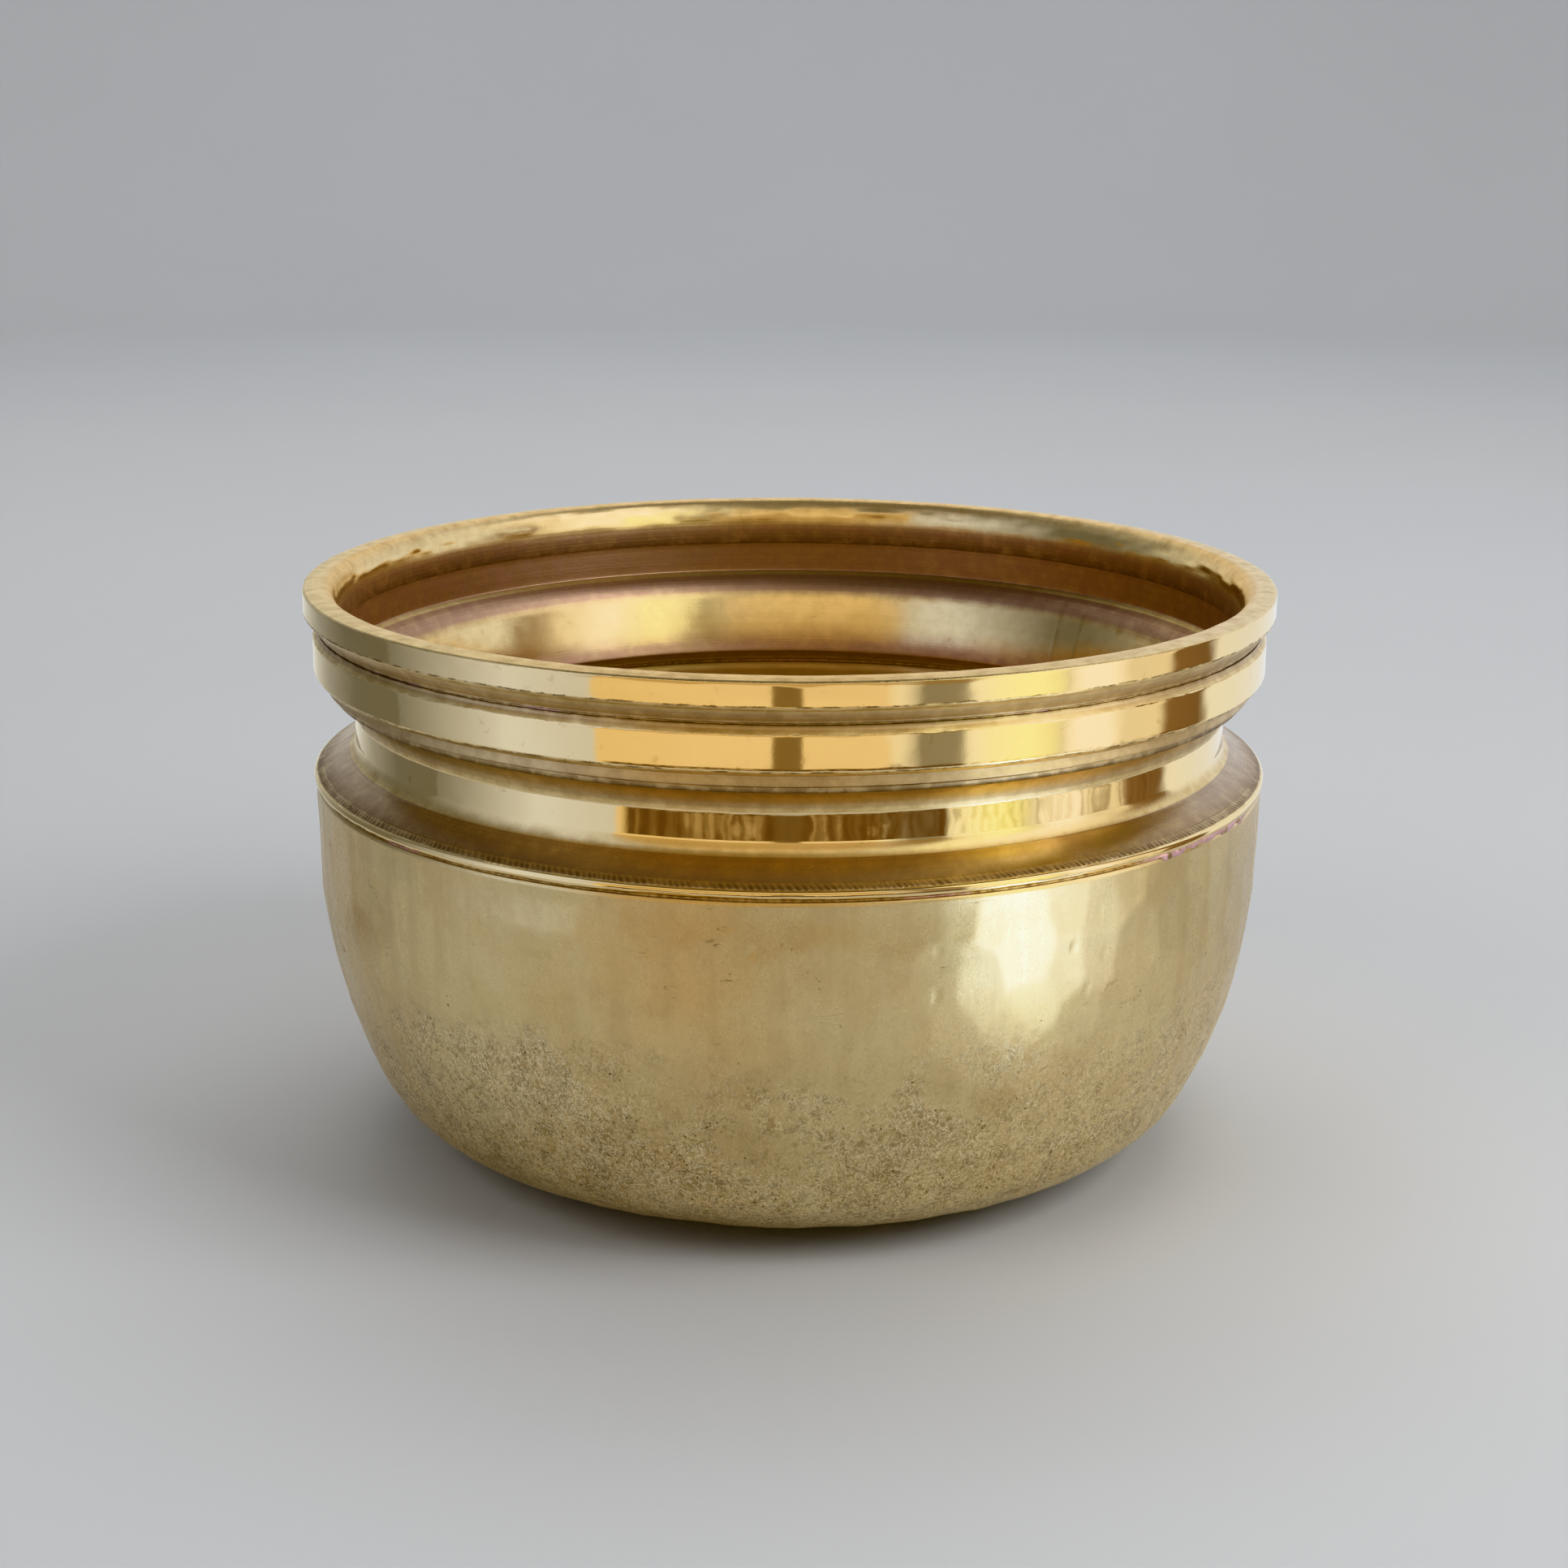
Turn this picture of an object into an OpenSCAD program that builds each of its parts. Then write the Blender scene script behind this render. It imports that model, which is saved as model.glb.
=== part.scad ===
// Singing bowl: a hammered brass cup with a lathe-turned collar and a heavy rim,
// brazed together. The bowl has no moving parts.
// Origin: centre of the flat foot, on the surface it stands on. +Z is up, units are mm.

/* [Cup] */
// Outer diameter of the cup at its top edge
cup_diameter = 236.8; // [230:0.2:237.2]
// Thickness of the hammered cup wall
cup_wall = 2.4; // [1.6:0.1:2.6]
// Height of the straight, slightly tapered upper wall
upper_wall_height = 21; // [12:1:30]
// Taper of the upper wall from vertical, in degrees
wall_taper = 1.3; // [0.5:0.1:2]
// Radius of the long bulge of the wall
belly_arc = 128; // [120:1:136]
// Slope at which the bulge turns into the corner, in degrees from vertical
belly_turn = 25.8; // [22:0.1:30]
// Radius of the corner between the wall and the base
corner_arc = 27.6; // [24:0.2:32]
// Slope at which the corner turns into the base, in degrees from vertical
corner_turn = 73.5; // [70:0.5:76]
// Radius of the shallow rounding under the bowl
base_arc = 140; // [110:5:160]

/* [Seams] */
// Thickness of the braze metal between cup and collar
shoulder_braze_height = 0.6; // [0.3:0.1:1]
// Thickness of the braze metal between collar and rim
rim_braze_height = 0.4; // [0.2:0.1:0.6]

/* [Collar] */
// Diameter of the polished edge of the shoulder
shoulder_diameter = 237.8; // [237.6:0.1:239]
// Height of the polished edge of the shoulder
edge_height = 1.9; // [1.4:0.1:2.6]
// Slope of the shoulder between its edge and the neck, in degrees from horizontal
shoulder_slope = 30; // [24:1:34]
// Outer diameter of the neck
neck_diameter = 217; // [214:0.5:219]
// Height of the straight part of the neck
neck_height = 5.9; // [4:0.1:10]
// Radius of the fillet between the neck and the shoulder
neck_fillet = 4; // [2:0.1:5]
// Radius of the hollow curve under the collar band
cove_radius = 6.3; // [5.6:0.1:6.6]
// Outer diameter of the collar band
band_diameter = 236; // [234:0.5:238]
// Height of the collar band
band_height = 9.3; // [6:0.1:14]
// Bore of the collar at the lower edge of its inner roll
neck_bore = 206; // [203:0.5:207]
// Lean of the inner roll at its lower edge, in degrees from vertical
roll_lean = 12; // [8:1:13]
// Bore of the hollow behind the collar band
band_bore = 226.8; // [225:0.2:227.4]

/* [Rim] */
// Outer diameter of the lip
lip_diameter = 240; // [238:0.5:244]
// Height of the polished face of the lip
lip_face_height = 5.9; // [4:0.1:9]
// Depth of the groove between the lip and the collar band
rim_groove_depth = 3.1; // [2:0.1:3.4]
// Bore of the rim at its lower inside edge
rim_bore = 223; // [221:0.5:224]
// Height over which the inside of the rim rounds over to its crown
inner_edge_height = 7.6; // [5:0.2:9]

/* [Hidden] */
$fn = 96;
// Step of the outline's arcs, in degrees
arc_step = 2.5;
// Chamfer of the turned edges, and a wider one at the ridge and the bore
chamfer = 0.4;
wide_chamfer = 0.8;
// Reach of the tools that cut through a ring
cut_through = 1;

// Cup outline: a tapered wall, then three arcs that meet tangent to each other.
// turn(r, a) is the point of an arc of radius r whose tangent is a degrees off vertical.
function turn(r, a) = [r * cos(a), -r * sin(a)];
wall_top = [cup_diameter / 2, 0];
belly_start = wall_top - upper_wall_height * [tan(wall_taper), 1];
belly_centre = belly_start - turn(belly_arc, wall_taper);
corner_start = belly_centre + turn(belly_arc, belly_turn);
corner_centre = corner_start - turn(corner_arc, belly_turn);
base_start = corner_centre + turn(corner_arc, corner_turn);
base_centre = base_start - turn(base_arc, corner_turn);
cup_height = base_arc - base_centre[1];

// Collar levels, from the bottom up.
collar_bottom = cup_height + shoulder_braze_height;
edge_top = collar_bottom + edge_height;
shoulder_radius = shoulder_diameter / 2;
neck_radius = neck_diameter / 2;
shoulder_foot = [shoulder_radius - chamfer, edge_top];
shoulder_top = edge_top + (shoulder_foot[0] - neck_radius) * tan(shoulder_slope);
// The fillet meets the neck and the shoulder this far from the corner between them.
fillet_reach = neck_fillet * tan(45 - shoulder_slope / 2);
neck_bottom = shoulder_top + fillet_reach;
neck_top = neck_bottom + neck_height;
fillet_centre = [neck_radius + neck_fillet, neck_bottom];
band_radius = band_diameter / 2;
cove_centre = [neck_radius + cove_radius, neck_top];
// Two small steps stand out from the neck under the band.
lower_step_out = 5.1;
upper_step_out = 6.7;
lower_step_radius = neck_radius + lower_step_out;
upper_step_radius = neck_radius + upper_step_out;
cove_angle = acos((lower_step_radius - cove_centre[0]) / cove_radius);
cove_end = neck_top + cove_radius * sin(cove_angle);
step_height = 1.3;
upper_step_height = 3.3;
band_bottom = cove_end + step_height + upper_step_height;
band_top = band_bottom + band_height;
throat_height = 1.6;
throat_depth = 1.1;
throat_collar_height = 0.6;
throat_radius = band_radius - throat_depth;
collar_top = band_top + throat_height;

// Inside of the collar. The braze bead stands a little proud of the cup on both sides.
bead_inside = 0.2;
bead_outside = 0.15;
seat_inner = cup_diameter / 2 - cup_wall - bead_inside;
neck_inner = neck_bore / 2;
band_inner = band_bore / 2;
underside_rise = 4.6;
ridge_inset = 0.9;
ridge_drop = 0.2;
ridge_level = band_bottom - ridge_drop;
ridge = [band_inner - ridge_inset, ridge_level];
// The inner roll is a long arc from its foot up to the knee, and a tighter one on to the ridge.
knee_inset = 4.6;
knee_drop = 5.2;
roll_knee = ridge - [knee_inset, knee_drop];
roll_foot = [neck_inner, collar_bottom + underside_rise + wide_chamfer];
knee_lean = end_lean(roll_foot, roll_knee, roll_lean);

// Rim levels.
rim_bottom = collar_top + rim_braze_height;
lip_radius = lip_diameter / 2;
// The groove's wall goes straight up a little, then slopes out to the underside of the lip.
groove_straight = 0.4;
groove_overhang = 1;
groove_step = 0.2;
lip_bottom = rim_bottom + rim_groove_depth + groove_step;
lip_shoulder = lip_bottom + lip_face_height + chamfer;
// The crown rises a little from its outer edge, is level on top, and rounds over inwards.
crown_rise = 0.3;
crown_slope_width = 2.2;
crown_width = 4.6;
lip_top = lip_shoulder + crown_rise;
crown_outer = lip_radius - crown_slope_width;
crown_inner = lip_radius - crown_width;
spigot_depth = 2.2;
rim_inner = rim_bore / 2;

// Steps of the arcs in the outlines of the collar and the rim, in degrees
collar_step = 6;
rim_step = 10;

// Points of an arc of the cup outline between two tangent slopes, one every 2.5 degrees or so.
function arc_points(centre, radius, from, to) =
  let (steps = ceil((to - from) / arc_step))
  [for (i = [0 : steps]) centre + turn(radius, from + (to - from) * i / steps)];

// Points of an arc of the collar outline between two directions from its centre.
function collar_arc(centre, radius, from, to) =
  let (steps = ceil(abs(to - from) / collar_step))
  [for (i = [0 : steps])
    let (a = from + (to - from) * i / steps) centre + radius * [cos(a), sin(a)]];

// An arc goes up from p to q and leans outwards from vertical by lean degrees at p.
// These are its lean at q, and its points from q down to p.
function chord_lean(p, q) = atan((q[0] - p[0]) / (q[1] - p[1]));
function end_lean(p, q, lean) = 2 * chord_lean(p, q) - lean;
function leaning_arc(p, q, lean) =
  let (radius = norm(q - p) / (2 * sin(chord_lean(p, q) - lean)))
  collar_arc(p + radius * [cos(lean), -sin(lean)], radius, 180 - end_lean(p, q, lean), 180 - lean);

// Points of the rim's rounded inside, from its crown down to its bore.
function inner_edge() =
  let (steps = floor(90 / rim_step))
  [for (i = [0 : steps])
    let (a = 90 - i * rim_step)
    [
      crown_inner - (crown_inner - rim_inner) * cos(a),
      lip_top - inner_edge_height * (1 - sin(a))
    ]];

// Cup outline from the top edge down to the foot, moved inwards by inset.
function cup_side(inset) = concat(
  [wall_top - [inset / cos(wall_taper), 0]],
  arc_points(belly_centre, belly_arc - inset, wall_taper, belly_turn),
  arc_points(corner_centre, corner_arc - inset, belly_turn + arc_step, corner_turn),
  arc_points(base_centre, base_arc - inset, corner_turn + arc_step, 90),
  [[0, inset - cup_height]]
);

// Raised and hammered cup: flat foot, rounded base, bulging wall, open top.
module body_cup() {
  inside = cup_side(cup_wall);
  color([0.72, 0.60, 0.36])
  translate([0, 0, cup_height])
  rotate_extrude()
    polygon(concat(cup_side(0), [for (i = [len(inside) - 1 : -1 : 0]) inside[i]]));
}

// Ring of braze metal that joins the cup's top edge to the underside of the collar.
module shoulder_braze() {
  color([0.72, 0.45, 0.38])
  translate([0, 0, cup_height])
  difference() {
    cylinder(h = shoulder_braze_height, r = cup_diameter / 2 + bead_outside);
    translate([0, 0, -cut_through])
      cylinder(h = shoulder_braze_height + 2 * cut_through, r = seat_inner);
  }
}

// Turned collar: shoulder plate, filleted neck, hollow curve, two steps and a flat band.
module neck_collar() {
  lower_roll = leaning_arc(roll_foot, roll_knee, roll_lean);
  color([0.80, 0.63, 0.33])
  rotate_extrude()
    polygon(concat(
      // Outside, upwards: polished edge, sloping shoulder, fillet, neck and hollow curve
      [
        [shoulder_radius - chamfer, collar_bottom],
        [shoulder_radius, collar_bottom + chamfer],
        [shoulder_radius, edge_top - chamfer],
        shoulder_foot
      ],
      collar_arc(fillet_centre, neck_fillet, 270 - shoulder_slope, 180),
      collar_arc(cove_centre, cove_radius, 180, cove_angle),
      // Two steps, the band and the throat under the rim
      [
        [lower_step_radius, cove_end + step_height],
        [upper_step_radius, cove_end + step_height],
        [upper_step_radius, band_bottom],
        [band_radius - chamfer, band_bottom],
        [band_radius, band_bottom + chamfer],
        [band_radius, band_top - chamfer],
        [throat_radius, collar_top - throat_collar_height],
        [throat_radius, collar_top],
        [band_inner, collar_top],
        [band_inner, ridge_level + wide_chamfer]
      ],
      // Inside, downwards: the roll from the ridge to its foot, then the underside
      leaning_arc(roll_knee, ridge, knee_lean),
      [for (i = [1 : len(lower_roll) - 1]) lower_roll[i]],
      [
        [neck_inner + wide_chamfer, collar_bottom + underside_rise],
        [seat_inner, collar_bottom]
      ]
    ));
}

// Ring of braze metal in the groove between the collar and the rim.
module rim_braze() {
  color([0.72, 0.45, 0.38])
  translate([0, 0, collar_top])
  difference() {
    cylinder(h = rim_braze_height, r = throat_radius);
    translate([0, 0, -cut_through])
      cylinder(h = rim_braze_height + 2 * cut_through, r = band_inner);
  }
}

// Heavy rim: polished outer face, low crown, rounded inside, and a spigot that
// sits inside the collar.
module rim_ring() {
  color([0.82, 0.66, 0.36])
  rotate_extrude()
    polygon(concat(
      [
        [throat_radius, rim_bottom],
        [throat_radius, rim_bottom + groove_straight],
        [lip_radius - groove_overhang, lip_bottom],
        [lip_radius - chamfer, lip_bottom],
        [lip_radius, lip_bottom + chamfer],
        [lip_radius, lip_shoulder - chamfer],
        [lip_radius - chamfer, lip_shoulder],
        [crown_outer, lip_top]
      ],
      inner_edge(),
      [
        [rim_inner, rim_bottom - spigot_depth],
        [band_inner, rim_bottom - spigot_depth],
        [band_inner, rim_bottom]
      ]
    ));
}

body_cup();
shoulder_braze();
neck_collar();
rim_braze();
rim_ring();
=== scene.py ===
"""Looks of the singing bowl: detailed lathe-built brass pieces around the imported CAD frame."""
import math

import bpy
import numpy as np
from mathutils import Matrix, Vector, kdtree


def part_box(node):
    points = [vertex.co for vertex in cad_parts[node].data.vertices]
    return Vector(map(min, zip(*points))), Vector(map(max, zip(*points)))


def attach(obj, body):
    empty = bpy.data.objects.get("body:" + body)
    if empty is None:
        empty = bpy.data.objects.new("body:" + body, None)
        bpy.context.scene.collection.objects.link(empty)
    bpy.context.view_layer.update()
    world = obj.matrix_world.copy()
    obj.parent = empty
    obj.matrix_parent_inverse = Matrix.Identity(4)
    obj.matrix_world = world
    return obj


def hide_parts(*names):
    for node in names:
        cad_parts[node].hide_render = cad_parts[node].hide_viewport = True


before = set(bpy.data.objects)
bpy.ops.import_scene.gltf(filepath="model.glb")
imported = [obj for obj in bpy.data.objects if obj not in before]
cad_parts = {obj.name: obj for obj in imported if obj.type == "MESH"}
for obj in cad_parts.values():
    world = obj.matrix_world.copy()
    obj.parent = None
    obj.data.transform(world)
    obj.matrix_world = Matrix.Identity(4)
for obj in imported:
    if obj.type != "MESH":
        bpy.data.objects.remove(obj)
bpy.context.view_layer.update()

MM = 0.001

# ---------------------------------------------------------------- levels, from the CAD boxes
CUP_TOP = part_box("body_cup")[1].z / MM
COLLAR_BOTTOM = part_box("neck_collar")[0].z / MM
COLLAR_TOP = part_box("neck_collar")[1].z / MM
LIP_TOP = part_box("rim_ring")[1].z / MM
RIM_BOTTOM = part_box("rim_braze")[1].z / MM
R_CUP = 118.4
WALL = 2.4
# the etched texture starts at this height and is full this far below it
ETCH_TOP, ETCH_DEPTH = 72, 46
# points round each piece
CUP_SEGS, TURNED_SEGS, BEAD_SEGS = 840, 1200, 1440
TOOL_MARKS = 488
SEGS_PER_MARK = 6
# heights over which each piece's noise runs once from 0 to 1
CUP_SPAN, COLLAR_SPAN, RIM_SPAN, LIP_SPAN = 95, 40, 12, 8
ROLL_LEAN = math.radians(12)


# ---------------------------------------------------------------- small numeric tools
def smooth(t):
    t = np.clip(t, 0.0, 1.0)
    return t * t * (3 - 2 * t)


def ring_noise(u, v, nu, nv, seed):
    """Smooth noise from -1 to 1. u wraps from 0 to 1 round the bowl, v runs from 0 to 1."""
    table = np.random.default_rng(seed).uniform(-1, 1, (nu, nv + 2))
    x = (u % 1.0) * nu
    y = np.clip(v, 0, 1) * nv
    i, j = np.floor(x).astype(int), np.floor(y).astype(int)
    fx, fy = smooth(x - i), smooth(y - j)
    i0, i1, j1 = i % nu, (i + 1) % nu, j + 1
    a = table[i0, j] * (1 - fx) + table[i1, j] * fx
    b = table[i0, j1] * (1 - fx) + table[i1, j1] * fx
    return a * (1 - fy) + b * fy


def bump_at(x, centre, width):
    """1 at centre, falling smoothly to 0 at width away."""
    return smooth(1 - np.abs(x - centre) / width)


def rounded(corners, step):
    """Closed outline through corners (r, z, radius, optional spacing), corners rounded, long edges split."""
    n = len(corners)
    out = []
    for k in range(n):
        p = np.array(corners[k][:2], float)
        rad = corners[k][2]
        a = np.array(corners[(k - 1) % n][:2], float) - p
        b = np.array(corners[(k + 1) % n][:2], float) - p
        la, lb = np.hypot(*a), np.hypot(*b)
        half = 0.5 * math.acos(max(-1.0, min(1.0, float(a @ b) / (la * lb))))
        t = min(rad / max(math.tan(half), 1e-3), 0.45 * la, 0.45 * lb)
        if t < 1e-4 or rad == 0:
            out.append([p])
            continue
        p0, p1 = p + a / la * t, p + b / lb * t
        out.append([(1 - s) ** 2 * p0 + 2 * s * (1 - s) * p + s * s * p1 for s in (0, 0.25, 0.5, 0.75, 1)])
    pts = []
    for k in range(n):
        pts.extend(out[k])
        a, b = out[k][-1], out[(k + 1) % n][0]
        span = corners[k][3] if len(corners[k]) > 3 else step
        m = int(np.hypot(*(b - a)) / span)
        pts.extend(a + (b - a) * (i + 1) / (m + 1) for i in range(m))
    return np.array(pts)


def arc(cr, cz, radius, a0, a1, n):
    """Points of an arc whose tangent goes from a0 to a1 degrees off vertical."""
    a = np.radians(np.linspace(a0, a1, n))
    return np.stack([cr + radius * np.cos(a), cz - radius * np.sin(a)], -1)


def profile_normals(pts, loop):
    if loop:
        d = np.roll(pts, -1, 0) - np.roll(pts, 1, 0)
    else:
        d = np.gradient(pts, axis=0)
    d /= np.maximum(np.hypot(d[:, 0], d[:, 1]), 1e-9)[:, None]
    return np.stack([d[:, 1], -d[:, 0]], -1)


def lathe(name, pts, segs, loop=True, relief=None, masks=None, pole_first=False, pole_last=False):
    """A turned piece from a profile in mm, metal on the left of travel. relief(u, r, z, i) moves points:
    it returns mm along the normal, or (along normal, along z). masks give named values per point."""
    n = len(pts)
    nor = profile_normals(pts, loop)
    u = np.arange(segs) / segs
    U, I = np.meshgrid(u, np.arange(n))
    R, Z = pts[:, 0][:, None] + 0 * U, pts[:, 1][:, None] + 0 * U
    moved = relief(U, R, Z, I) if relief else 0.0
    along, lift = moved if isinstance(moved, tuple) else (moved, 0.0)
    r = R + nor[:, 0][:, None] * along
    z = Z + nor[:, 1][:, None] * along + lift
    th = U * 2 * np.pi
    co = np.stack([r * np.cos(th), r * np.sin(th), z], -1).reshape(-1, 3) * MM
    rows = np.arange(n if loop else n - 1)
    A, B = np.meshgrid(rows, np.arange(segs), indexing="ij")
    A2, B2 = (A + 1) % n, (B + 1) % segs
    quads = np.stack([A * segs + B, A * segs + B2, A2 * segs + B2, A2 * segs + B], -1).reshape(-1, 4)
    faces = [quads]
    extra = []
    for on, row, flip in ((pole_first, 0, True), (pole_last, n - 1, False)):
        if on:
            extra.append([0, 0, float(z[row].mean()) * MM])
            c = len(co) + len(extra) - 1
            j = np.arange(segs)
            a, b = row * segs + j, row * segs + (j + 1) % segs
            tri = np.stack([a, np.full(segs, c), b], -1) if flip else np.stack([a, b, np.full(segs, c)], -1)
            faces.append(tri)
    if extra:
        co = np.vstack([co, np.array(extra)])
    mesh = bpy.data.meshes.new(name)
    mesh.vertices.add(len(co))
    mesh.vertices.foreach_set("co", co.astype(np.float32).ravel())
    loops = np.concatenate([f.ravel() for f in faces]).astype(np.int32)
    sizes = np.concatenate([np.full(len(f), f.shape[1]) for f in faces])
    mesh.loops.add(len(loops))
    mesh.loops.foreach_set("vertex_index", loops)
    mesh.polygons.add(len(sizes))
    mesh.polygons.foreach_set("loop_start", (np.cumsum(sizes) - sizes).astype(np.int32))
    mesh.polygons.foreach_set("use_smooth", np.ones(len(sizes), bool))
    mesh.update(calc_edges=True)
    mesh.validate()
    for key, value in (masks(U, R, Z, I) if masks else {}).items():
        data = np.concatenate([np.broadcast_to(value, U.shape).ravel(), np.zeros(len(extra))])
        mesh.attributes.new(key, "FLOAT", "POINT").data.foreach_set("value", data.astype(np.float32))
    obj = bpy.data.objects.new(name, mesh)
    bpy.context.scene.collection.objects.link(obj)
    return obj


# ---------------------------------------------------------------- node helpers
class Nodes:
    """Short-hand for building one material's node tree."""

    def __init__(self, name):
        self.mat = bpy.data.materials.new(name)
        self.mat.use_nodes = True
        self.tree = self.mat.node_tree
        self.tree.nodes.clear()
        self.out = self.add("ShaderNodeOutputMaterial")
        self.bsdf = self.add("ShaderNodeBsdfPrincipled")
        self.tree.links.new(self.bsdf.outputs[0], self.out.inputs[0])
        self.pos = self.add("ShaderNodeTexCoord").outputs["Object"]

    def add(self, kind, **props):
        node = self.tree.nodes.new(kind)
        for k, v in props.items():
            setattr(node, k, v)
        return node

    def plug(self, socket, value):
        if isinstance(value, bpy.types.NodeSocket):
            self.tree.links.new(value, socket)
        elif value is not None:
            if socket.type == "RGBA" and len(value) == 3:
                value = (*value, 1.0)
            socket.default_value = value

    def math(self, op, a, b=None, clamp=False):
        n = self.add("ShaderNodeMath", operation=op, use_clamp=clamp)
        for s, v in zip(n.inputs, (a, b)):
            self.plug(s, v)
        return n.outputs[0]

    def mix(self, f, a, b):
        n = self.add("ShaderNodeMix", data_type="RGBA")
        self.plug(n.inputs[0], f)
        self.plug(n.inputs[6], a)
        self.plug(n.inputs[7], b)
        return n.outputs[2]

    def mixf(self, f, a, b):
        n = self.add("ShaderNodeMix", data_type="FLOAT")
        self.plug(n.inputs[0], f)
        self.plug(n.inputs[2], a)
        self.plug(n.inputs[3], b)
        return n.outputs[0]

    def ramp(self, x, lo, hi, a=0.0, b=1.0):
        n = self.add("ShaderNodeMapRange", interpolation_type="SMOOTHSTEP")
        for s, v in zip(n.inputs, (x, lo, hi, a, b)):
            self.plug(s, v)
        return n.outputs[0]

    def stretch(self, scale):
        n = self.add("ShaderNodeVectorMath", operation="MULTIPLY")
        self.plug(n.inputs[0], self.pos)
        n.inputs[1].default_value = scale
        return n.outputs[0]

    def noise(self, scale, detail=2.0, rough=0.5, vector=None, distort=0.0):
        n = self.add("ShaderNodeTexNoise")
        self.plug(n.inputs["Vector"], vector or self.pos)
        n.inputs["Scale"].default_value = scale
        n.inputs["Detail"].default_value = detail
        n.inputs["Roughness"].default_value = rough
        n.inputs["Distortion"].default_value = distort
        return n.outputs[0]

    def cells(self, scale, vector):
        n = self.add("ShaderNodeTexVoronoi")
        self.plug(n.inputs["Vector"], vector)
        n.inputs["Scale"].default_value = scale
        return n.outputs[0]

    def value(self, name):
        return self.add("ShaderNodeAttribute", attribute_name=name, attribute_type="GEOMETRY").outputs["Fac"]

    def turned(self):
        """Coordinates that only change across the turning direction: radius and height."""
        s = self.add("ShaderNodeSeparateXYZ")
        self.plug(s.inputs[0], self.pos)
        flat = self.add("ShaderNodeCombineXYZ")
        self.plug(flat.inputs[0], s.outputs[0])
        self.plug(flat.inputs[1], s.outputs[1])
        length = self.add("ShaderNodeVectorMath", operation="LENGTH")
        self.plug(length.inputs[0], flat.outputs[0])
        c = self.add("ShaderNodeCombineXYZ")
        self.plug(c.inputs[0], length.outputs["Value"])
        self.plug(c.inputs[2], s.outputs[2])
        return c.outputs[0]

    def spokes(self):
        """Coordinates that only change round the axis, in radius units: marks that run in and out."""
        flat = self.add("ShaderNodeVectorMath", operation="MULTIPLY")
        self.plug(flat.inputs[0], self.pos)
        flat.inputs[1].default_value = (1, 1, 0)
        unit = self.add("ShaderNodeVectorMath", operation="NORMALIZE")
        self.plug(unit.inputs[0], flat.outputs[0])
        return unit.outputs[0]

    def bump(self, height, strength, distance):
        n = self.add("ShaderNodeBump")
        n.inputs["Strength"].default_value = strength
        n.inputs["Distance"].default_value = distance
        self.plug(n.inputs["Height"], height)
        return n.outputs[0]

    def finish(self, colour, rough, normal=None, metallic=1.0):
        self.plug(self.bsdf.inputs["Base Color"], colour)
        self.plug(self.bsdf.inputs["Roughness"], rough)
        self.plug(self.bsdf.inputs["Metallic"], metallic)
        if normal is not None:
            self.plug(self.bsdf.inputs["Normal"], normal)
        return self.mat


def dress(obj, mat, node):
    obj.data.materials.append(mat)
    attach(obj, "root")
    if node:
        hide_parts(node)
    return obj


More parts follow.
